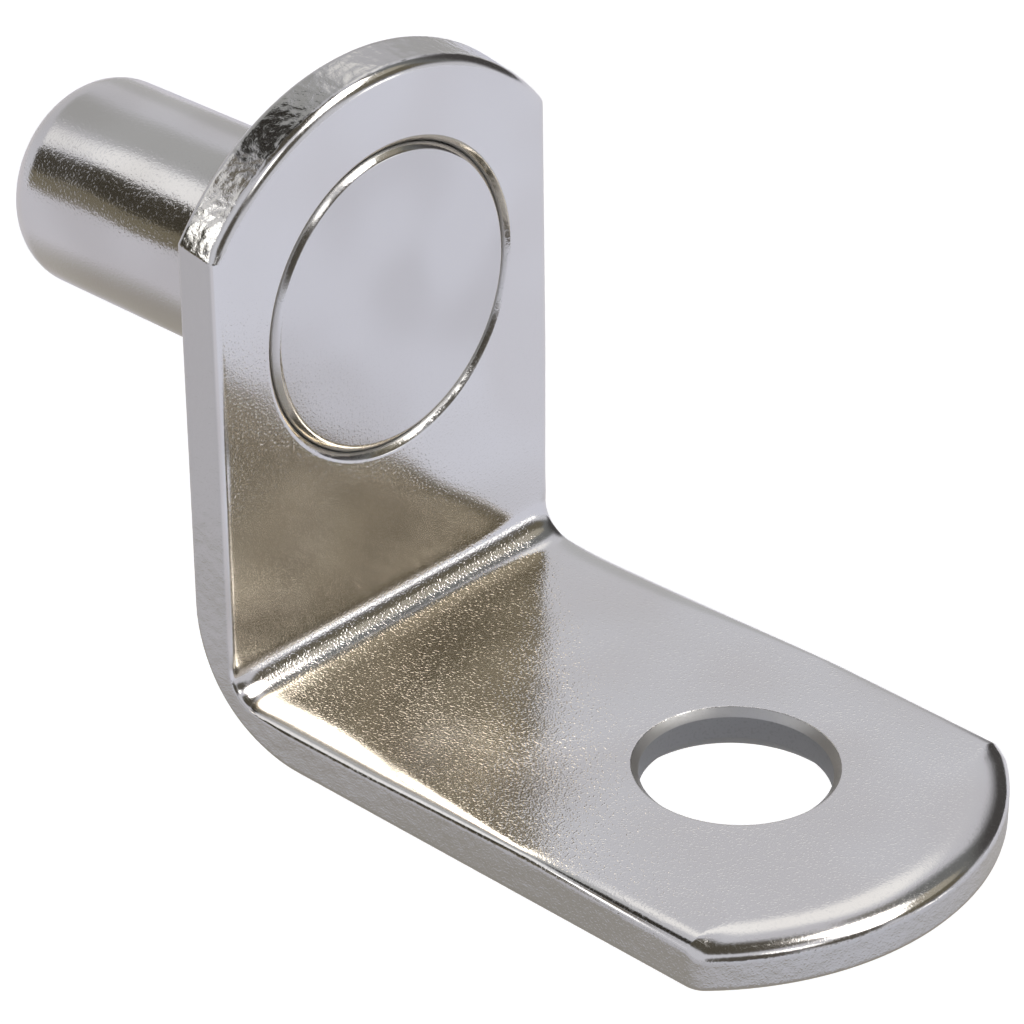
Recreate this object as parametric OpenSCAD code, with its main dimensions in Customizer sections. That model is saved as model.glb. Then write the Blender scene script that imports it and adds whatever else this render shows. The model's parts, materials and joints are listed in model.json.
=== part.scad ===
// Shelf support pin: a strip of plated steel bent to an L, with a pin riveted flush into it.
// The pin goes into a drilled hole in a cabinet side, the shelf lies on the leg,
// and a screw driven up through the leg keeps the shelf from sliding.
// Origin: on the pin's axis, in the plane of the upright's back, which lies on the cabinet side.
// X runs along the leg, Y across the strip, Z up. All sizes are millimetres.

/* [Strip] */
// Width of the strip
strip_w = 10; // [9:0.5:14]
// Thickness of the strip
sheet_t = 1.1; // [0.9:0.05:1.6]
// Radius along the strip's sheared edges
edge_r = 0.12; // [0.06:0.02:0.2]
// Radius inside the bend
inner_bend_r = 0.75; // [0.5:0.05:2]
// Radius outside the bend, more than the inside one plus the strip, which is drawn thin there
outer_bend_r = 3; // [1.5:0.1:3.2]

/* [Upright] */
// Height of the pin's axis above the leg's underside
pin_height = 8.65; // [8:0.05:14]
// Height of the upright's top above the pin's axis
top_rise = 5.65; // [5:0.05:8]

/* [Leg] */
// Length of the leg, from the upright's back to its tip
leg_len = 16.5; // [14:0.1:24]

/* [Arched ends] */
// How far the leg's arched end stands past the chord that spans the strip
arch_rise = 2.2; // [1.5:0.1:3.2]
// The same for the upright's arched end
top_arch_rise = 2.5; // [1.5:0.1:3]
// How far the soft edge left by the punch reaches in over the face, and down the end
roll_reach = 0.3; // [0.2:0.02:0.36]
// Radius of that soft edge
roll_r = 0.5; // [0.44:0.02:0.8]

/* [Screw hole] */
// Diameter of the screw hole
screw_hole_d = 4.1; // [3:0.1:4.6]
// Distance of the hole's axis from the leg's tip
hole_setback = 5.8; // [4:0.1:6.5]
// Distance of the hole's axis from the middle of the strip
hole_offset = 0.45; // [0:0.05:0.5]
// Width and depth of the bevel around the hole's upper rim
upper_bevel = 0.17; // [0.05:0.01:0.2]
// Width and depth of the bevel around the hole's lower rim, where the screw's head sits
lower_bevel = 0.4; // [0.1:0.05:0.5]

/* [Pin] */
// Diameter of the pin, a little under the 5 mm shelf hole
pin_d = 4.9; // [4.3:0.1:6]
// Length of the pin behind the upright
pin_len = 8.8; // [6:0.1:12]
// Radius around the pin's free end
pin_end_r = 0.9; // [0.2:0.1:1.5]
// Bevel around the shoulder that the pin stands on the upright with
shoulder_bevel = 0.1; // [0.06:0.01:0.2]
// Diameter of the neck that goes through the upright
neck_d = 3.8; // [3:0.1:3.8]
// Diameter of the head that the neck is spread into, flush with the upright's inner face
head_d = 7; // [6.4:0.1:7.6]
// Thickness of that head
head_t = 0.6; // [0.4:0.05:0.7]
// Distance of the head's middle and of the upright's arch from the middle of the strip
head_offset = 0.12; // [0:0.02:0.12]
// Height of the head's middle above the pin's axis
head_lift = 0.14; // [0:0.02:0.2]
// Gap all round between the pin and the upright it is set in
set_gap = 0.02; // [0.01:0.01:0.05]
// Width of the bevel on each side of the seam around the head
seam_bevel = 0.14; // [0.04:0.01:0.16]

/* [Hidden] */
$fn = 96;
half_w = strip_w / 2;
// Margin by which a cutter or a keeper reaches past what it works on
spare = 1;
// Distance of the inside bend's axis from both outer faces
inner_fold_r = sheet_t + inner_bend_r;
// How deep the form inside the outer faces goes, past all of the bend
form_depth = max(outer_bend_r, inner_fold_r) + spare;
leg_bottom = -pin_height;
upright_len = pin_height + top_rise;
screw_x = leg_len - hole_setback;
bore_d = neck_d + 2 * set_gap;
seat_d = head_d + 2 * set_gap;
// From an end's upper corner in to the centre of the soft edge's circle, along X and along Z
roll_inset = roll_reach / 2 + sqrt(roll_r * roll_r / 2 - roll_reach * roll_reach / 4);

// Radius of an arc that spans the strip and stands a rise above its chord
function arch_r(rise) = (half_w * half_w + rise * rise) / (2 * rise);

// Swaps X and Z, so that a plate laid along X stands up along Z
module stand() {
    mirror([1, 0, -1]) children();
}

// Half of the strip's section: X from the finished face inwards, Y across the strip
module face_section(depth) {
    polygon([[edge_r, -half_w], [depth, -half_w], [depth, half_w], [edge_r, half_w]]);
    translate([0, edge_r - half_w]) square([2 * edge_r, strip_w - 2 * edge_r]);
    for (side = [-1, 1]) translate([edge_r, side * (half_w - edge_r)]) circle(edge_r);
}

// Carries a section along X from start to end, with the section's own X turned up
module carry(start, end) {
    translate([start, 0, 0]) rotate([0, 90, 0]) mirror([1, 0, 0])
        linear_extrude(end - start) children();
}

// The rim of an arched end, in section: a soft upper edge and a bevelled lower one
module rim_section(radius) {
    circle_x = radius - roll_inset;
    circle_z = sheet_t - roll_inset;
    intersection() {
        polygon([
            [0, -spare], [radius - edge_r - spare, -spare], [radius, edge_r],
            [radius, sheet_t + spare], [0, sheet_t + spare]
        ]);
        union() {
            translate([0, -spare]) square([circle_x, circle_z + roll_r + spare]);
            translate([0, -spare]) square([circle_x + roll_r, circle_z + spare]);
            translate([circle_x, circle_z]) circle(roll_r);
        }
    }
}

// What an arched end leaves of the bent strip: a disc, and a block over all that lies behind it,
// wide enough for the strip and tall enough for its other end
module arch_form(reach, tall, radius, offset) {
    block_end = max(reach - radius, form_depth);
    translate([reach - radius, offset, 0]) rotate([0, 0, 180])
        rotate_extrude() rim_section(radius);
    translate([-spare, -strip_w, -spare]) cube([block_end + spare, 2 * strip_w, tall + 2 * spare]);
}

// Turns a section about the strip's cross axis, a quarter turn on the bend's outer side
module fold(radius) {
    translate([radius, 0, radius]) rotate([90, 0, 0]) rotate([0, 0, 180])
        rotate_extrude(angle = 90) children();
}

// One straight run of the strip's outer face, backed past the inner one
module outer_run(reach) {
    carry(outer_bend_r, reach + spare) face_section(form_depth);
}

// Everything that lies inside the strip's outer face
module outer_form() {
    outer_run(leg_len);
    stand() outer_run(upright_len);
    fold(outer_bend_r) intersection() {
        translate([outer_bend_r, 0]) mirror([1, 0]) face_section(form_depth);
        translate([0, -half_w]) square([outer_bend_r, strip_w]);
    }
}

// One straight run of the strip's inner face, backed past the outer one
module inner_run(reach) {
    translate([0, 0, sheet_t]) mirror([0, 0, 1])
        carry(inner_fold_r, reach + spare) face_section(sheet_t + spare);
}

// Everything that lies outside the strip's inner face
module inner_form() {
    inner_run(leg_len);
    stand() inner_run(upright_len);
    fold(inner_fold_r) translate([inner_bend_r, 0]) face_section(2 * inner_fold_r);
}

// The strip, bent and with both ends arched
module bent_strip() {
    intersection() {
        outer_form();
        inner_form();
        arch_form(leg_len, upright_len, arch_r(arch_rise), 0);
        stand() arch_form(upright_len, leg_len, arch_r(top_arch_rise), head_offset);
    }
}

// Turns what stands along Z on the head's middle to lie along X
module on_head() {
    translate([0, head_offset, head_lift]) rotate([0, 90, 0]) children();
}

// The hole that the pin's neck goes through, and the seat of its head
module pin_seat() {
    rotate([0, 90, 0]) translate([0, 0, -spare]) cylinder(d = bore_d, h = sheet_t + 2 * spare);
    on_head() {
        translate([0, 0, sheet_t - head_t]) cylinder(d = seat_d, h = head_t + spare);
        translate([0, 0, sheet_t - seam_bevel])
            cylinder(d1 = seat_d, d2 = seat_d + 2 * (seam_bevel + spare), h = seam_bevel + spare);
    }
}

// The screw hole, bevelled at both rims
module screw_hole() {
    lower_d = screw_hole_d + 2 * (lower_bevel + spare);
    upper_d = screw_hole_d + 2 * (upper_bevel + spare);
    translate([screw_x, hole_offset, leg_bottom]) {
        translate([0, 0, -spare]) cylinder(d = screw_hole_d, h = sheet_t + 2 * spare);
        translate([0, 0, -spare]) cylinder(d1 = lower_d, d2 = screw_hole_d, h = lower_bevel + spare);
        translate([0, 0, sheet_t - upper_bevel])
            cylinder(d1 = screw_hole_d, d2 = upper_d, h = upper_bevel + spare);
    }
}

// The bent strip, with its seat for the pin and its screw hole
module bracket() {
    color("silver") difference() {
        translate([0, 0, leg_bottom]) bent_strip();
        pin_seat();
        screw_hole();
    }
}

// The shank's and the neck's section, from the axis out, with 0 at the upright's back
module shank_section() {
    shank_r = pin_d / 2;
    round_y = pin_end_r - pin_len;
    translate([0, -pin_len]) square([shank_r - pin_end_r, pin_len]);
    intersection() {
        translate([shank_r - pin_end_r, round_y]) circle(pin_end_r);
        translate([0, -pin_len]) square([shank_r, pin_len]);
    }
    polygon([
        [0, round_y], [shank_r, round_y], [shank_r, -shoulder_bevel],
        [shank_r - shoulder_bevel, 0], [0, 0]
    ]);
    translate([0, -pin_end_r]) square([neck_d / 2, pin_end_r + sheet_t - head_t / 2]);
}

// The head's section, from the axis out
module head_section() {
    head_r = head_d / 2;
    polygon([
        [0, sheet_t - head_t], [head_r, sheet_t - head_t], [head_r, sheet_t - seam_bevel],
        [head_r - seam_bevel, sheet_t], [0, sheet_t]
    ]);
}

// The pin: a shank that stands on the upright, a neck through it, and the neck's flush head
module pin() {
    color("gainsboro") {
        rotate([0, 90, 0]) rotate_extrude() shank_section();
        on_head() rotate_extrude() head_section();
    }
}

bracket();
pin();
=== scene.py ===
# %% [markdown]
# # A shelf support pin, blanked, bent, riveted and plated
# The real part starts as a strip of soft steel. A press shears it to length with arched ends,
# pierces its holes, bends it to an L and spreads the end of a round pin in the upright. Then the
# whole part is tumbled and nickel-plated. This script follows the same order, because each step
# leaves its own mark: rolled rims, a soft bend, a fine seam around the pin's head and satin plate.

import json
import math

import bmesh
import bpy
from mathutils import Matrix, Vector


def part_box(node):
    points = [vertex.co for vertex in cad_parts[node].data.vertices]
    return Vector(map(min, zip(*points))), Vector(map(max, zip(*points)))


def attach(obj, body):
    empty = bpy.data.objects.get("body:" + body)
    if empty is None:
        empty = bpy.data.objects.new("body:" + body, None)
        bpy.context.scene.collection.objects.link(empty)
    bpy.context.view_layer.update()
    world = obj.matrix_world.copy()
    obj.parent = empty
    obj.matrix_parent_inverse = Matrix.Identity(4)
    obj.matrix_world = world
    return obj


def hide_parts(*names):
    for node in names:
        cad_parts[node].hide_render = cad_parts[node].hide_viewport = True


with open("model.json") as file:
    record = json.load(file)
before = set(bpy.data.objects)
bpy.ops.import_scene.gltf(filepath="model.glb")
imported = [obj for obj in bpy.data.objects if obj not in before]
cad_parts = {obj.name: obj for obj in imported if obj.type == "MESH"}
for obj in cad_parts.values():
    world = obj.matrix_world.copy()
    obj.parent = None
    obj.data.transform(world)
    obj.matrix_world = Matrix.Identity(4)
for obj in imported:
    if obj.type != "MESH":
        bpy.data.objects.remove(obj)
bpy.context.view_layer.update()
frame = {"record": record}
MM = 0.001

# %% [markdown]
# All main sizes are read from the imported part, in millimetres: the strip from its own box, its
# thickness from the seat the shelf lies on, and the holes from the mounts in the record.

# %% Read the sizes
low, high = (Vector(corner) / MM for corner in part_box("bracket"))
pin_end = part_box("pin")[0][0] / MM
mounts = {m["name"]: m for m in frame["record"]["mounts"]}
HALF_W = high.y
LEG = high.x
UPRIGHT = high.z - low.z
SHEET = mounts["shelf_seat"]["pos_m"][2] / MM - low.z
PIN_R = mounts["pin"]["dims"]["r_mm"]
SCREW_R = mounts["screw_hole"]["dims"]["r_mm"]
SCREW_X, SCREW_Y = (c / MM for c in mounts["screw_hole"]["pos_m"][:2])
print("strip", 2 * HALF_W, "x", round(SHEET, 3), "leg", LEG, "upright", round(UPRIGHT, 3))

# %% [markdown]
# The press leaves sizes of its own. Each end has an arch, with soft corners and a roll along its
# upper rim, and a roll has a reach in over the face and a drop down the edge. The upright's end
# was sheared a little aslant. Where the bend pulls on the long rims, they roll over more. `FOLD`
# is how much of the flat blank goes into the bend. `TURN` is how far from a corner the points
# lie that soften it, and points closer than `TINY` count as one.

# %% Name the press's sizes
EDGE_R = 0.12
TIP_RISE, TIP_CORNER, TIP_ROLL = 2.2, 0.6, (0.95, 0.40)
TOP_RISE, TOP_CORNER, TOP_ROLL = 2.5, 0.16, (0.36, 0.28)
TOP_TAPER, TAPER_REACH = 0.14, 1
SIDE_ROLL, BEND_ROLL = (0.18, 0.15), (0.88, 0.26)
BEND_OUT, BEND_IN, FOLD = 3.0, 0.75, 4.0
UPPER_BEVEL, LOWER_BEVEL = 0.17, 0.4
SEAM, SEAM_DEPTH, FIT_GAP = 0.15, 0.14, 0.02
HEAD_R, HEAD_T, HEAD_Y, HEAD_Z = 3.5, 0.6, 0.12, 0.14
NECK_R = 1.9
TURN, TINY = 0.01, 1e-5


def upright_s(height):
    """Where a height on the upright lies along the flat blank, which the bend shortens."""
    return 2 * BEND_OUT - FOLD - height


TOP_S = upright_s(UPRIGHT)
print("blank runs from", round(TOP_S, 3), "to", LEG)

# %% [markdown]
# ## The camera
# A long lens looks down on the inside of the L from the near side, so that the upright's face,
# the top of the leg and the pin behind all show.

# %% Aim the camera
AZIMUTH, ELEVATION, ROLL_ANGLE = (math.radians(a) for a in (43.433, 30.419, -0.229))
DISTANCE, LENS, SENSOR = 84.769, 141.07, 36
AIM, AIM_LEFT, AIM_DOWN = (5, 0, 6), 0.229, 0.734
back = Vector((
    math.sin(AZIMUTH) * math.cos(ELEVATION),
    -math.cos(AZIMUTH) * math.cos(ELEVATION),
    math.sin(ELEVATION),
))
side = Vector((math.cos(AZIMUTH), math.sin(AZIMUTH), 0))
above = back.cross(side)
right = side * math.cos(ROLL_ANGLE) + above * math.sin(ROLL_ANGLE)
up = above * math.cos(ROLL_ANGLE) - side * math.sin(ROLL_ANGLE)
aim = Vector(AIM) + Vector((0, 0, low.z)) - right * AIM_LEFT - up * AIM_DOWN
lens = bpy.data.cameras.new("camera")
lens.lens, lens.sensor_width = LENS, SENSOR
lens.clip_start, lens.clip_end = 0.001, 10
camera = bpy.data.objects.new("camera", lens)
turn = Matrix((right, up, back)).transposed().to_4x4()
camera.matrix_world = Matrix.Translation((aim + back * DISTANCE) * MM) @ turn
bpy.context.scene.collection.objects.link(camera)
bpy.context.scene.camera = camera
print("camera at", [round(c, 4) for c in camera.location])

# %% [markdown]
# ## The flat blank
# Each rim line of the blank is drawn as a compass would draw it: one point is spun around a
# corner, around the arch and around the next corner, and carried along the straight side. The
# same outline drawn smaller gives the next line in, so all of them have the same points.

# %% Make the compass
ARCH_STEPS, CORNER_STEPS, SHARPEST = 72, 8, 0.01


def spin_point(bm, vert, centre, angle, steps):
    """Spins one point about a centre and returns the last one."""
    cent = (*centre, vert.co.z)
    made = bmesh.ops.spin(
        bm, geom=[vert], cent=cent, axis=(0, 0, 1), angle=angle, steps=steps, use_merge=False
    )
    return next(g for g in made["geom_last"] if isinstance(g, bmesh.types.BMVert))


def arched_end(bm, vert, tip, sign, rise, corner, offset, inset):
    """Carries a rim line round one end: corner, arch, corner."""
    radius = (HALF_W**2 + rise**2) / (2 * rise)
    arch = Vector((tip - sign * radius, offset))
    radius, corner = radius - inset, max(corner - inset, SHARPEST)
    centres, reaches = [], []
    for edge in (-sign, sign):
        out = edge * (HALF_W - inset - corner) - offset
        centres.append(arch + Vector((sign * math.sqrt((radius - corner) ** 2 - out**2), out)))
        reaches.append(math.asin(abs(out) / (radius - corner)))
    vert.co.xy = centres[0] - sign * Vector((0, corner))
    vert = spin_point(bm, vert, centres[0], math.pi / 2 - reaches[0], CORNER_STEPS)
    vert = spin_point(bm, vert, arch, sum(reaches), ARCH_STEPS)
    return spin_point(bm, vert, centres[1], math.pi / 2 - reaches[1], CORNER_STEPS)


def rim_line(bm, inset, height):
    """Draws the blank's outline, this far in from its edge, and returns its edges."""
    known = set(bm.edges)
    start = bm.verts.new((0, 0, height))
    vert = arched_end(bm, start, LEG, 1, TIP_RISE, TIP_CORNER, 0, inset)
    vert = bmesh.ops.extrude_vert_indiv(bm, verts=[vert])["verts"][0]
    vert = arched_end(bm, vert, TOP_S, -1, TOP_RISE, TOP_CORNER, HEAD_Y, inset)
    bm.edges.new((vert, start))
    return [e for e in bm.edges if e not in known]


# %% [markdown]
# The lines lie close together at the edge, where the rims turn fastest, and one more line on the
# wall, just past each rim, keeps the wall's own shading flat. Every point remembers how far in it
# lies, and the lines are drawn as a cone until the rims are rolled. Bridging each line to the
# next makes the blank a closed body.

# %% Draw the rim lines
WALL_LINE = -0.05
TOP_LINES = (
    WALL_LINE, 0, 0.004, 0.015, 0.033, 0.06, 0.095, 0.14, 0.19, 0.25, 0.33, 0.42, 0.52, 0.62, 0.74,
    0.88, 1.05,
)
BOTTOM_LINES = (WALL_LINE, 0, 0.01, 0.04, 0.08, EDGE_R)
blank = bmesh.new()
depth_in = blank.verts.layers.float.new("depth_in")
rims = []
for level, slope, insets in ((0, -1, reversed(BOTTOM_LINES)), (SHEET, 1, TOP_LINES)):
    for inset in insets:
        rim = rim_line(blank, max(inset, 0), level + slope * inset)
        for edge in rim:
            for vert in edge.verts:
                vert[depth_in] = inset
        rims.append(rim)
for first, second in zip(rims, rims[1:]):
    bmesh.ops.bridge_loops(blank, edges=first + second)
for rim in (rims[0], rims[-1]):
    bmesh.ops.contextual_create(blank, geom=rim)
print("rim lines:", len(rims), "of", len(rims[0]), "points, faces:", len(blank.faces))

# %% [markdown]
# ## Rows across the blank
# A flat face can't bend, so the blank is cut across where it will be folded. The rows are close
# together where the inside turns in its small radius and wider where only the outside turns.
# More rows run on to both sides, through the rims alone, where these still feel the bend.

# %% Cut the rows
STRAIGHT_ROWS, TURN_ROWS = 6, 20
LEG_ROWS, LEG_STEP = 17, 0.4
UPRIGHT_ROWS, UPRIGHT_STEP = 9, 0.3
FLAT_SIDES = 8


def cut_row(bm, place, faces):
    """Cuts these faces across the blank at a place along it."""
    edges = {e for f in faces for e in f.edges}
    verts = {v for e in edges for v in e.verts}
    bmesh.ops.bisect_plane(
        bm, geom=[*verts, *edges, *faces], dist=TINY, plane_co=(place, 0, 0), plane_no=(1, 0, 0)
    )


straight = BEND_OUT - SHEET - BEND_IN
inner_len = 2 * straight + BEND_IN * math.pi / 2
lead = straight / inner_len
rows = [lead * i / STRAIGHT_ROWS for i in range(STRAIGHT_ROWS)]
rows += [lead + (1 - 2 * lead) * i / TURN_ROWS for i in range(TURN_ROWS)]
rows += [1 - lead + lead * i / STRAIGHT_ROWS for i in range(STRAIGHT_ROWS + 1)]
for part in rows:
    cut_row(blank, BEND_OUT - FOLD * part, blank.faces[:])
beyond = [BEND_OUT + LEG_STEP * (i + 1) for i in range(LEG_ROWS)]
beyond += [BEND_OUT - FOLD - UPRIGHT_STEP * (i + 1) for i in range(UPRIGHT_ROWS)]
for place in beyond:
    cut_row(blank, place, [f for f in blank.faces if len(f.verts) < FLAT_SIDES])
print("rows:", len(rows) + len(beyond), "faces:", len(blank.faces))

# %% [markdown]
# ## Rolled rims
# Where the punch goes in, it drags the steel down before it shears. So the upper rims of the
# arched ends roll over softly, and most at the leg's tip. The long sides are only slit and
# tumbled, but the bend draws their upper rim in too, and that fades away along the leg. Each
# roll is a quarter of an ellipse. Every point also notes whether it lies on a sheared wall or on
# a burnished roll, because the plating looks different there.

# %% Roll the rims
SHEAR_DEPTH = 0.03
PULL_START, PULL_END = 0.1, 10
TIP_BLEND, TOP_BLEND = (0.5, 0.6), (0.3, 0.4)


def smooth(value):
    """0 below 0, 1 above 1, with a smooth turn between."""
    value = min(max(value, 0.0), 1.0)
    return value * value * (3 - 2 * value)


def mix(first, second, part):
    """A roll that lies this part of the way from the first to the second."""
    return [a + (b - a) * part for a, b in zip(first, second)]


def near_end(chord_in, blend):
    """0 along the strip, 1 near an end, by the distance past the chord of its arch."""
    return smooth((chord_in + blend[0]) / blend[1])


def roll_at(x):
    """Reach and drop of the upper rim's roll, by the place along the blank."""
    if x > BEND_OUT:
        pull = smooth((PULL_END - x) / (PULL_END - BEND_OUT))
    else:
        pull = smooth(x - PULL_START)
    roll = mix(SIDE_ROLL, BEND_ROLL, pull)
    roll = mix(roll, TIP_ROLL, near_end(x - LEG + TIP_RISE, TIP_BLEND))
    return mix(roll, TOP_ROLL, near_end(TOP_S + TOP_RISE - x, TOP_BLEND))


def quarter(part):
    """How far a quarter ellipse one unit tall has dropped at a part of its reach."""
    return 1 - math.sqrt(1 - (1 - min(max(part, 0.0), 1.0)) ** 2)


sheared = blank.verts.layers.float.new("sheared")
burnished = blank.verts.layers.float.new("burnished")
for vert in blank.verts:
    over = vert.co.z > SHEET / 2
    reach, drop = roll_at(vert.co.x)
    wall = SHEET - drop - EDGE_R
    if not over:
        reach, drop = EDGE_R, EDGE_R
    fall = drop * quarter(vert[depth_in] / reach) - min(vert[depth_in], 0)
    vert.co.z = SHEET - fall if over else fall
    raised = min(max((vert.co.z - EDGE_R) / wall, 0), 1)
    vert.co.x += TOP_TAPER * raised * smooth(TOP_S + TOP_RISE + TAPER_REACH - vert.co.x)
    vert[sheared] = 1 - smooth(vert[depth_in] / SHEAR_DEPTH)
    vert[burnished] = 1 - smooth(vert[depth_in] / reach - 0.5) if over else 0.0
print("deepest roll:", round(SHEET - min(v.co.z for v in blank.verts if v.co.z > SHEET / 2), 3))

# %% [markdown]
# ## Pierced holes
# A hole's lining is a short line spun round the hole's axis: over the rim, down the wall and out
# again on the other side. The flat faces are then filled between their own border and the
# lining's. This keeps the faces around a hole clean, where cutting one body out of another would
# leave slivers. A lining's points carry a mark too, which makes the metal dull on the bevels and
# in the seam and duller still down the walls, and paints its colour darker there as shade.

# %% Make the linings
# These marks dull the metal and also paint its colour darker, as shade in the holes and the seam.
BEVEL_DULL_AND_SHADE, WALL_DULL_AND_SHADE, SEAM_DULL_AND_SHADE = 1.5, 2.0, 1.5
LINING_STEPS = 128


def seam_side(radius, sign):
    """One side of the seam's V, with soft turns: from the face down to its wall."""
    inner = radius + sign * TURN
    return [
        (radius + sign * (SEAM + 2 * TURN), 0.0),
        (radius + sign * SEAM, 0.4 * TURN),
        (radius + sign * (SEAM - 3 * TURN), 2 * TURN),
        (inner + sign * 2 * TURN, SEAM_DEPTH - 2 * TURN),
        (inner, SEAM_DEPTH),
    ]


def lining(bm, centre, profile):
    """Spins (radius, height, dullness and painted shade) points round a hole's axis; returns its
    border loops.
    """
    chain = []
    for radius, height, dull_and_shade in profile:
        chain.append(bm.verts.new((centre[0] + radius, centre[1], height)))
        chain[-1][sheared] = dull_and_shade
    edges = [bm.edges.new(pair) for pair in zip(chain, chain[1:])]
    known = set(bm.verts) - set(chain)
    bmesh.ops.spin(
        bm, geom=chain + edges, cent=(*centre, 0), axis=(0, 0, 1), angle=2 * math.pi,
        steps=LINING_STEPS, use_merge=True,
    )
    fresh = [e for e in bm.edges if not known & set(e.verts) and len(e.link_faces) == 1]
    return [e for e in fresh if e.verts[0].co.z > SHEET / 2], [
        e for e in fresh if e.verts[0].co.z < SHEET / 2
    ]


def open_flat(bm, where, loop):
    """Fills a flat face again with the loop left open: where is 1 on the leg, -1 on the upright."""
    level = loop[0].verts[0].co.z
    faces = [f for f in bm.faces if all(abs(v.co.z - level) < TINY for v in f.verts)]
    faces = [f for f in faces if f.calc_center_median().x * where > BEND_OUT * where]
    flat = max(faces, key=lambda f: f.calc_area())
    border = flat.edges[:]
    bmesh.ops.delete(bm, geom=[flat], context="FACES_ONLY")
    bmesh.ops.triangle_fill(bm, edges=border + loop, use_beauty=True, normal=(0, 0, 1))


# %% [markdown]
# The screw hole is bevelled at both rims, and more below, where the screw's head sits. The pin's
# seat is stepped: the head fills the wide part, and the neck goes through the narrow one, which
# stays on the pin's axis while the head lies a little off it. The seat's rim falls softly into
# the seam around the head.

# %% Pierce the screw hole and the pin's seat
# The third number of each point is its mark: it dulls the metal and paints darker shade there.
upper_r, lower_r = SCREW_R + UPPER_BEVEL, SCREW_R + LOWER_BEVEL
screw_profile = [
    (upper_r + 3 * TURN, SHEET, 0),
    (upper_r, SHEET, 0),
    (upper_r - TURN, SHEET - TURN, BEVEL_DULL_AND_SHADE),
    (SCREW_R + TURN, SHEET - UPPER_BEVEL + TURN, BEVEL_DULL_AND_SHADE),
    (SCREW_R, SHEET - UPPER_BEVEL - TURN, WALL_DULL_AND_SHADE),
    (SCREW_R, LOWER_BEVEL + 3 * TURN, WALL_DULL_AND_SHADE),
    (SCREW_R + TURN, LOWER_BEVEL - TURN, WALL_DULL_AND_SHADE),
    (lower_r - 2 * TURN, 2 * TURN, WALL_DULL_AND_SHADE),
    (lower_r + TURN, 0, 0),
    (lower_r + 6 * TURN, 0, 0),
]
seat_r, bore_r = HEAD_R + FIT_GAP, NECK_R + FIT_GAP
seat_profile = [
    (seat_r + SEAM + 6 * TURN, SHEET, 0),
    *((r, SHEET - d, SEAM_DULL_AND_SHADE * (d > 5 * TURN)) for r, d in seam_side(seat_r, 1)),
    (seat_r, SHEET - SEAM_DEPTH - 3 * TURN, WALL_DULL_AND_SHADE),
    (seat_r, SHEET - HEAD_T, WALL_DULL_AND_SHADE),
    (bore_r, SHEET - HEAD_T, WALL_DULL_AND_SHADE),
    (bore_r, 0, WALL_DULL_AND_SHADE),
    (bore_r + 10 * TURN, 0, 0),
]
seat_centre = (upright_s(HEAD_Z - low.z), HEAD_Y)
for centre, profile, where in (
    ((SCREW_X, SCREW_Y), screw_profile, 1),
    (seat_centre, seat_profile, -1),
):
    for loop in lining(blank, centre, profile):
        open_flat(blank, where, loop)
bore_rims = [
    v for v in blank.verts
    if v.co.z < SHEET / 2 and (v.co.xy - Vector(seat_centre)).length < bore_r + 11 * TURN
]
bmesh.ops.translate(blank, verts=bore_rims, vec=(HEAD_Z, -HEAD_Y, 0))
print("open edges left:", sum(1 for e in blank.edges if len(e.link_faces) != 2))

# %% [markdown]
# ## Bending
# The bend stretches the outside and presses the inside, and the steel gets thinner where it
# turns. Both faces keep their own path here: a wide arc outside, and inside a short straight, a
# tight arc and a straight. A point between them keeps its share of the thickness. Where each
# point lay in the flat is kept as an attribute, so that the finish can follow the steel.

# %% Bend the blank


def outer_path(part):
    """The outer face's place in the bend, by the part of it that lies behind."""
    angle = math.pi / 2 * part
    return Vector((BEND_OUT * (1 - math.sin(angle)), BEND_OUT * (1 - math.cos(angle))))


def inner_path(part):
    """The inner face's place in the bend."""
    length = part * inner_len
    turned = (length - straight) / BEND_IN
    centre = SHEET + BEND_IN
    if turned < 0:
        return Vector((BEND_OUT - length, SHEET))
    if turned > math.pi / 2:
        return Vector((SHEET, BEND_OUT - inner_len + length))
    return Vector((centre - BEND_IN * math.sin(turned), centre - BEND_IN * math.cos(turned)))


def bent(point):
    """Where a point of the flat blank ends up: leg along X, upright along Z."""
    part = (BEND_OUT - point.x) / FOLD
    if part <= 0:
        return point.copy()
    if part >= 1:
        return Vector((point.z, point.y, upright_s(point.x)))
    place = outer_path(part).lerp(inner_path(part), point.z / SHEET)
    return Vector((place.x, point.y, place.y))


flat_place = blank.verts.layers.float_vector.new("blank")
for vert in blank.verts:
    vert[flat_place] = vert.co
    vert.co = bent(vert.co) + Vector((0, 0, low.z))
print("steel left in the bend:", round((outer_path(0.5) - inner_path(0.5)).length, 3))

# %% [markdown]
# A finished body becomes one smooth closed object in metres. It rides with the part's only body
# and stands for its own solid of the frame.

# %% Finish the strip


def as_object(name, bm):
    """Turns a bmesh into an object of the scene."""
    mesh = bpy.data.meshes.new(name)
    bm.to_mesh(mesh)
    bm.free()
    made = bpy.data.objects.new(name, mesh)
    bpy.context.scene.collection.objects.link(made)
    return made


def finish_piece(name, bm, node):
    """Makes a piece that stands for a node of the frame."""
    bmesh.ops.remove_doubles(bm, verts=bm.verts, dist=TINY)
    bmesh.ops.recalc_face_normals(bm, faces=bm.faces)
    bmesh.ops.scale(bm, vec=(MM, MM, MM), verts=bm.verts)
    for face in bm.faces:
        face.smooth = True
    loose = sum(1 for e in bm.edges if len(e.link_faces) != 2)
    piece = as_object(name, bm)
    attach(piece, "root")
    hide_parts(node)
    print(name, "faces:", len(piece.data.polygons), "open edges:", loose)
    return piece


strip = finish_piece("strip", blank, "bracket")

# %% [markdown]
# ## The pin
# The pin is round all over, so it is one profile spun round the X axis: a rounded free end, the
# shank, a bevelled shoulder on the upright's back, the neck, and the head the neck was spread
# into. The head's rim is soft like its seat's, and the two make the seam.

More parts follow.
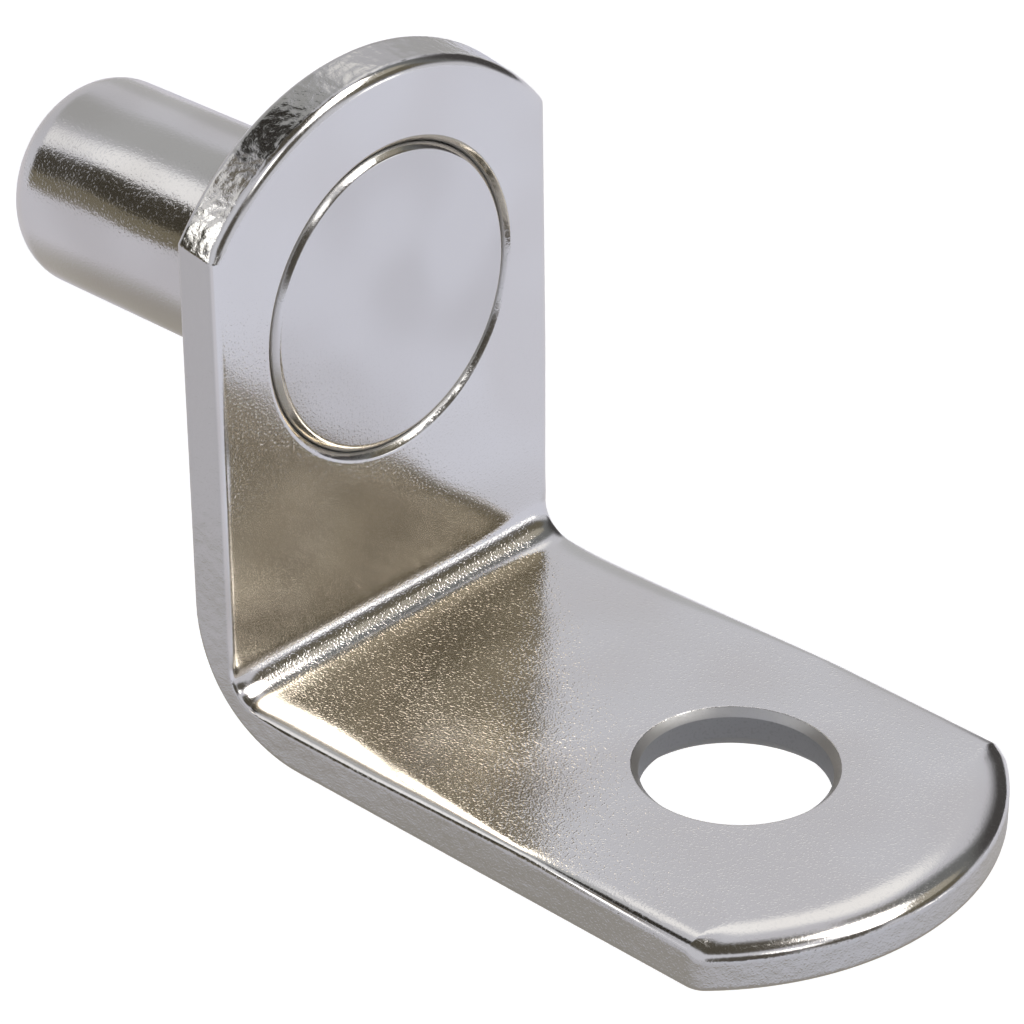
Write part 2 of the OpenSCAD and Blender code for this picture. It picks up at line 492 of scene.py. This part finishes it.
# %% Turn the pin
END_R, END_STEPS = 0.9, 14
SHOULDER = 0.1
PIN_STEPS = 160
profile = [(pin_end, 0.0), (pin_end, PIN_R - END_R - 6 * TURN)]
for i in range(END_STEPS + 1):
    angle = math.pi / 2 * i / END_STEPS
    profile.append((
        pin_end + END_R * (1 - math.cos(angle)), PIN_R - END_R * (1 - math.sin(angle))
    ))
profile += [
    (pin_end + END_R + 8 * TURN, PIN_R),
    (-SHOULDER - 3 * TURN, PIN_R),
    (-SHOULDER, PIN_R - 0.4 * TURN),
    (-0.4 * TURN, PIN_R - SHOULDER),
    (0, PIN_R - SHOULDER - 3 * TURN),
    (0, NECK_R),
    (SHEET - HEAD_T, NECK_R),
    (SHEET - HEAD_T, HEAD_R),
    *((SHEET - d, r) for r, d in reversed(seam_side(HEAD_R, -1))),
    (SHEET, HEAD_R - SEAM - 6 * TURN),
    (SHEET, 0.0),
]
turned = bmesh.new()
in_seam = turned.verts.layers.float.new("sheared")
chain = [turned.verts.new((x, 0, r)) for x, r in profile]
edges = [turned.edges.new(pair) for pair in zip(chain, chain[1:])]
bmesh.ops.spin(
    turned, geom=chain + edges, cent=(0, 0, 0), axis=(1, 0, 0), angle=2 * math.pi,
    steps=PIN_STEPS, use_merge=True,
)
head = [v for v in turned.verts if v.co.x > SHEET - HEAD_T - TURN]
bmesh.ops.translate(turned, verts=head, vec=(0, HEAD_Y, HEAD_Z))
# The head's side below its face takes the seam's mark, which dulls it and paints it darker as
# shade.
for vert in head:
    vert[in_seam] = SEAM_DULL_AND_SHADE if vert.co.x < SHEET - 5 * TURN else 0.0
set_pin = finish_piece("set_pin", turned, "pin")

# %% [markdown]
# ## Shader helpers
# Shader maths reads best as ordinary sums, so a small class wraps a socket and turns each
# operator into a Math node.

# %% Wrap sockets


class Value:
    """A socket that can be used in sums."""

    def __init__(self, nodes, socket):
        self.nodes, self.socket = nodes, socket

    def math(self, kind, *others):
        made = self.nodes.add("ShaderNodeMath", {"operation": kind}, [self, *others])
        return made.out()

    def __add__(self, other):
        return self.math("ADD", other)

    def __mul__(self, other):
        return self.math("MULTIPLY", other)

    def __sub__(self, other):
        return self.math("SUBTRACT", other)

    def __rsub__(self, other):
        return (self * -1) + other

    __radd__, __rmul__ = __add__, __mul__

    def power(self, other):
        return self.math("POWER", other)

    def ramp(self, start, end):
        """0 before start, 1 after end, with a smooth turn between."""
        made = self.nodes.add(
            "ShaderNodeMapRange", {"interpolation_type": "SMOOTHSTEP"},
            {"Value": self, "From Min": start, "From Max": end},
        )
        return made.out("Result")


class Node:
    """A node whose outputs can be used in sums."""

    def __init__(self, nodes, node):
        self.nodes, self.node = nodes, node

    def out(self, name=0):
        return Value(self.nodes, self.node.outputs[name])


# %% [markdown]
# Every other node comes from one method, which takes the node's type, its settings and what goes
# into it, be it a number, a colour or another node's output. The few nodes used again and again
# have short names of their own.

# %% Add nodes
MIX_AMOUNT, MIX_FIRST, MIX_SECOND, MIX_RESULT = 0, 6, 7, 2


class Nodes:
    """A node tree that adds any node from its type, its settings and its inputs."""

    def __init__(self, owner):
        owner.use_nodes = True
        self.tree = owner.node_tree
        self.tree.nodes.clear()

    def add(self, kind, settings=None, inputs=None):
        node = self.tree.nodes.new(kind)
        for name, value in (settings or {}).items():
            setattr(node, name, value)
        pairs = inputs.items() if isinstance(inputs, dict) else enumerate(inputs or [])
        for name, value in pairs:
            if isinstance(value, Node):
                value = value.out()
            if isinstance(value, Value):
                self.tree.links.new(value.socket, node.inputs[name])
            else:
                node.inputs[name].default_value = value
        return Node(self, node)

    def axes(self, vector):
        split = self.add("ShaderNodeSeparateXYZ", None, [vector])
        return split.out("X"), split.out("Y"), split.out("Z")

    def attribute(self, name, kind="Fac"):
        return self.add("ShaderNodeAttribute", {"attribute_name": name}).out(kind)

    def noise(self, vector, scale, detail):
        made = self.add("ShaderNodeTexNoise", None, {
            "Vector": vector, "Scale": scale, "Detail": detail,
        })
        return made.out(0)

    def mix(self, amount, first, second):
        made = self.add("ShaderNodeMix", {"data_type": "RGBA"}, {
            MIX_AMOUNT: amount, MIX_FIRST: first, MIX_SECOND: second,
        })
        return made.out(MIX_RESULT)


# %% [markdown]
# ## Satin nickel
# Nickel is a warm white metal, and warmer where it reflects itself. Over tumbled steel it has a
# fine grain of dimples, which makes it sparkle: each tiny slope throws back another part of the
# room. A slow wave lies under the grain. The punch has burnished the rolled rims smooth. The
# sheared faces are wavier and duller. The walls of both holes, the screw hole's bevels and the seam
# round the pin's head are duller too, and their colour is painted darker there as shade. The pin
# is made of smoother wire, and its head was pressed flat, so both have less grain.

# %% Name the finish's amounts
STRIP_NICKEL = (0.73, 0.675, 0.58, 1), (0.765, 0.715, 0.62, 1)
PIN_NICKEL = (0.66, 0.61, 0.525, 1), (0.73, 0.68, 0.59, 1)
EDGE_TINT = (1.0, 0.95, 0.86, 1)
# The bore tone is painted shade: it darkens the hole walls, their bevels and the seam.
SHEARED_NICKEL, BORE_PAINTED_SHADE = (0.59, 0.55, 0.47, 1), (0.40, 0.39, 0.36, 1)
GRAIN_SIZE, DOT_SIZE, CLOUD_SIZE, RIPPLE_SIZE = 0.045, 0.055, 2.2, 0.3
GRAIN_DEPTH, DOT_DEPTH, WAVE_DEPTH = 0.0028, 0.0021, 0.06
RIPPLE_DEPTH, END_RIPPLE = 0.012, 0.015
SATIN, DOT_ROUGH, SHEARED_ROUGH, BORE_ROUGH = 0.13, 0.06, 0.02, 0.6
UPRIGHT_GRAIN, SHEARED_GRAIN, PIN_GRAIN, HEAD_GRAIN = 0.3, 0.2, 0.45, 0.2
BURNISHING, BORE_SMOOTHING = 0.85, 0.9
print("grain, mm:", GRAIN_SIZE, "wide and", GRAIN_DEPTH, "deep")

# %% [markdown]
# One function makes both platings. Noise in the part's own coordinates gives the grain, its dots
# and the slow wave, and they go into the bump. The attributes left by the press say where the
# metal was sheared, pierced or burnished, and where each point lay along the flat strip, because
# the grain is fainter on the upright than on the leg. Every nickel is a dull and a bright tone,
# and the slow wave blends them.

# %% Make the plating


def plating(name, on_strip):
    material = bpy.data.materials.new(name)
    nodes = Nodes(material)
    place = nodes.add("ShaderNodeTexCoord").out("Object")
    fine = nodes.noise(place, 1 / (GRAIN_SIZE * MM), 1.0)
    dots = nodes.noise(place, 1 / (DOT_SIZE * MM), 0.0).ramp(0.54, 0.76)
    cloud = nodes.noise(place, 1 / (CLOUD_SIZE * MM), 0.0)
    tone = nodes.mix(cloud.ramp(0.3, 0.7), *(STRIP_NICKEL if on_strip else PIN_NICKEL))
    rough = SATIN + dots * DOT_ROUGH
    grain = fine * GRAIN_DEPTH + dots * DOT_DEPTH
    wave = (cloud - 0.5) * WAVE_DEPTH
    cut = nodes.attribute("sheared")
    shear, dull_and_shaded = cut.ramp(0.0, 1.0), cut.ramp(1.0, 2.0)
    tone = nodes.mix(shear, tone, SHEARED_NICKEL)
    # Painted shade: the hole walls, bevels and the seam take the darker bore tone.
    tone = nodes.mix(dull_and_shaded, tone, BORE_PAINTED_SHADE)
    rough = rough + shear * SHEARED_ROUGH + dull_and_shaded * BORE_ROUGH
    if on_strip:
        worn = nodes.attribute("burnished")
        along, _, _ = nodes.axes(nodes.attribute("blank", "Vector"))
        ripple = nodes.noise(place, 1 / (RIPPLE_SIZE * MM), 1.0)
        kept = (1 - worn * (1 - shear) * BURNISHING) * (1 - dull_and_shaded * BORE_SMOOTHING)
        on_leg = along.ramp(0.0, 1.0) * (1 - UPRIGHT_GRAIN)
        grain = grain * kept * (UPRIGHT_GRAIN + on_leg + shear * SHEARED_GRAIN)
        swell = RIPPLE_DEPTH + along.ramp(-5.0, -8.0) * END_RIPPLE
        wave = wave + (ripple - 0.5) * (shear - dull_and_shaded) * swell
    else:
        across, _, _ = nodes.axes(place)
        grain = grain * (PIN_GRAIN - across.ramp(0.0, 1.0 * MM) * (PIN_GRAIN - HEAD_GRAIN))
    bump = nodes.add("ShaderNodeBump", None, {
        "Height": (grain + wave) * MM, "Distance": 1.0, "Strength": 1.0,
    })
    shader = nodes.add("ShaderNodeBsdfPrincipled", None, {
        "Base Color": tone, "Metallic": 1.0, "Roughness": rough, "Normal": bump,
        "Specular Tint": EDGE_TINT,
    })
    nodes.add("ShaderNodeOutputMaterial", None, {"Surface": shader})
    print(name, "nodes:", len(nodes.tree.nodes))
    return material


strip.data.materials.append(plating("strip_nickel", True))
set_pin.data.materials.append(plating("pin_nickel", False))

# %% [markdown]
# ## The studio
# Polished metal shows the room. The room here is pale and a little cool, with soft lights above
# and darker parts between them, as lights and flags around a table make them. Each is a round
# patch of the sky: a direction, two angles between which it fades out, in degrees, and a colour.
# The camera itself sees plain white.

# %% Build the world
WALLS = (0.655, 0.695, 0.85, 1)
PATCHES = (
    ("gray wall", (0.42, 0.66, 0.62), 23, 32, (0.17, 0.185, 0.21, 1)),
    ("warm wall", (0.66, 0.62, 0.42), 12, 17, (0.14, 0.13, 0.105, 1)),
    ("pale corner", (0.44, 0.63, 0.64), 8, 12, (0.40, 0.39, 0.36, 1)),
    ("dark back", (0.02, 0.98, 0.20), 14, 28, (0.07, 0.07, 0.08, 1)),
    ("dark low wall", (0.74, 0.63, 0.24), 3, 6, (0.14, 0.14, 0.15, 1)),
    ("far light", (0.78, 0.62, 0.03), 3, 5.5, (2.4, 2.5, 2.8, 1)),
    ("dark ceiling", (0.22, 0.0, 0.97), 15, 24, (0.08, 0.075, 0.065, 1)),
    ("dark behind the camera", (0.82, -0.43, 0.38), 12, 24, (0.09, 0.085, 0.08, 1)),
    ("dark right of it", (0.88, 0.12, 0.45), 10, 16, (0.10, 0.095, 0.09, 1)),
    ("side wall", (-0.593, 0.77, 0.15), 9, 20, (0.53, 0.57, 0.68, 1)),
    ("upper wall", (-0.593, 0.10, 0.80), 10, 24, (0.47, 0.50, 0.57, 1)),
    ("glow", (-0.593, -0.41, 0.69), 5, 14, (1.05, 1.1, 1.25, 1)),
    ("brown card", (-0.33, -0.42, 0.85), 5, 9, (0.16, 0.14, 0.11, 1)),
    ("dark card", (-0.305, -0.07, 0.95), 11, 14, (0.03, 0.028, 0.025, 1)),
    ("flag's foot", (-0.593, -0.784, 0.18), 8, 15, (0.20, 0.185, 0.145, 1)),
    ("flag", (-0.593, -0.68, 0.43), 11, 13.5, (0.05, 0.045, 0.033, 1)),
    ("side light", (-0.37, -0.68, 0.64), 5, 8, (3.0, 3.1, 3.4, 1)),
    ("soft light", (-0.30, 0.55, 0.78), 5, 13, (1.1, 1.15, 1.3, 1)),
    ("gap between lights", (0.05, 0.50, 0.86), 2, 6, (0.2, 0.2, 0.2, 1)),
    ("window", (0.60, 0.33, 0.73), 9, 12, (5.0, 5.1, 5.6, 1)),
    ("window", (0.35, 0.38, 0.86), 9, 12, (5.0, 5.1, 5.6, 1)),
    ("strip light", (0.76, -0.10, 0.64), 4, 8, (2.6, 2.7, 3.0, 1)),
)
WHITE = (1, 1, 1, 1)
world = bpy.data.worlds.new("studio")
bpy.context.scene.world = world
sky = Nodes(world)
direction = sky.add("ShaderNodeTexCoord").out("Generated")


def patch(aim_at, inner, outer):
    """1 inside an angle round a direction, 0 outside a larger one, in degrees."""
    unit = Vector(aim_at).normalized()
    dot = sky.add("ShaderNodeVectorMath", {"operation": "DOT_PRODUCT"}, {0: direction, 1: unit})
    return dot.out("Value").ramp(math.cos(math.radians(outer)), math.cos(math.radians(inner)))


room = WALLS
for _, aim_at, inner, outer, tint in PATCHES:
    room = sky.mix(patch(aim_at, inner, outer), room, tint)
rays = sky.add("ShaderNodeLightPath").out("Is Camera Ray")
shown = sky.mix(rays, room, WHITE)
light = sky.add("ShaderNodeBackground", None, {"Color": shown, "Strength": 1.0})
sky.add("ShaderNodeOutputWorld", None, {"Surface": light})
print("lights and flags:", ", ".join(name for name, *_ in PATCHES))

# %% [markdown]
# ## The paper
# In use the part hangs by its pin, so it stands on nothing here, and a wide white paper lies well
# below it. The metal mirrors the paper: bluish far away, with painted shade on its near side and a
# painted brown shadow of the part right below it. The camera sees the same matt paper in one plain
# tone, with just enough light added to make it white, so that it still takes the part's soft
# shadow.

# %% Lay the floor
FLOOR_DROP, FLOOR_REACH = 30, 3
# The near tone is painted shade and the under tone is a painted shadow of the part; the camera sees
# neither.
PAPER, PAPER_NEAR_SHADE = (0.86, 0.88, 0.96, 1), (0.76, 0.75, 0.78, 1)
PAPER_PAINTED_SHADOW, PAPER_GLOW = (0.42, 0.39, 0.31, 1), (0.13, 0.145, 0.20, 1)
PAPER_SEEN, PAPER_LIFT = (0.9, 0.9, 0.9, 1), (0.42, 0.39, 0.30, 1)
NEAR_SHADE_FADE, SHADOW_FADE = (0.06, -0.02), (0.066, 0.036)
sheet = bmesh.new()
bmesh.ops.create_grid(
    sheet, x_segments=1, y_segments=1, size=FLOOR_REACH,
    matrix=Matrix.Translation((0, 0, (low.z - FLOOR_DROP) * MM)),
)
floor = as_object("floor", sheet)
paper = bpy.data.materials.new("paper")
nodes = Nodes(paper)
seen = nodes.add("ShaderNodeLightPath").out("Is Camera Ray")
across, deep, _ = nodes.axes(nodes.add("ShaderNodeTexCoord").out("Object"))
# Painted shade: the paper gets dimmer on its near side, seen only in the metal.
near_shade = (across + deep).ramp(*NEAR_SHADE_FADE)
# Painted shadow: a brown disc of shade right below the part.
under_shadow = (across * across + deep * deep).power(0.5).ramp(*SHADOW_FADE)
mirrored = nodes.mix(under_shadow, nodes.mix(near_shade, PAPER, PAPER_NEAR_SHADE), PAPER_PAINTED_SHADOW)
matt = nodes.add("ShaderNodeBsdfDiffuse", None, {"Color": nodes.mix(seen, mirrored, PAPER_SEEN)})
shine = nodes.add("ShaderNodeEmission", None, {"Color": nodes.mix(seen, PAPER_GLOW, PAPER_LIFT)})
both = nodes.add("ShaderNodeAddShader", None, [matt, shine])
nodes.add("ShaderNodeOutputMaterial", None, {"Surface": both})
floor.data.materials.append(paper)
print("paper, mm below the leg:", FLOOR_DROP)

# %% [markdown]
# ## The view
# The Standard view shows each colour about as it was mixed.

# %% Set the view and finish
bpy.context.scene.view_settings.view_transform = "Standard"
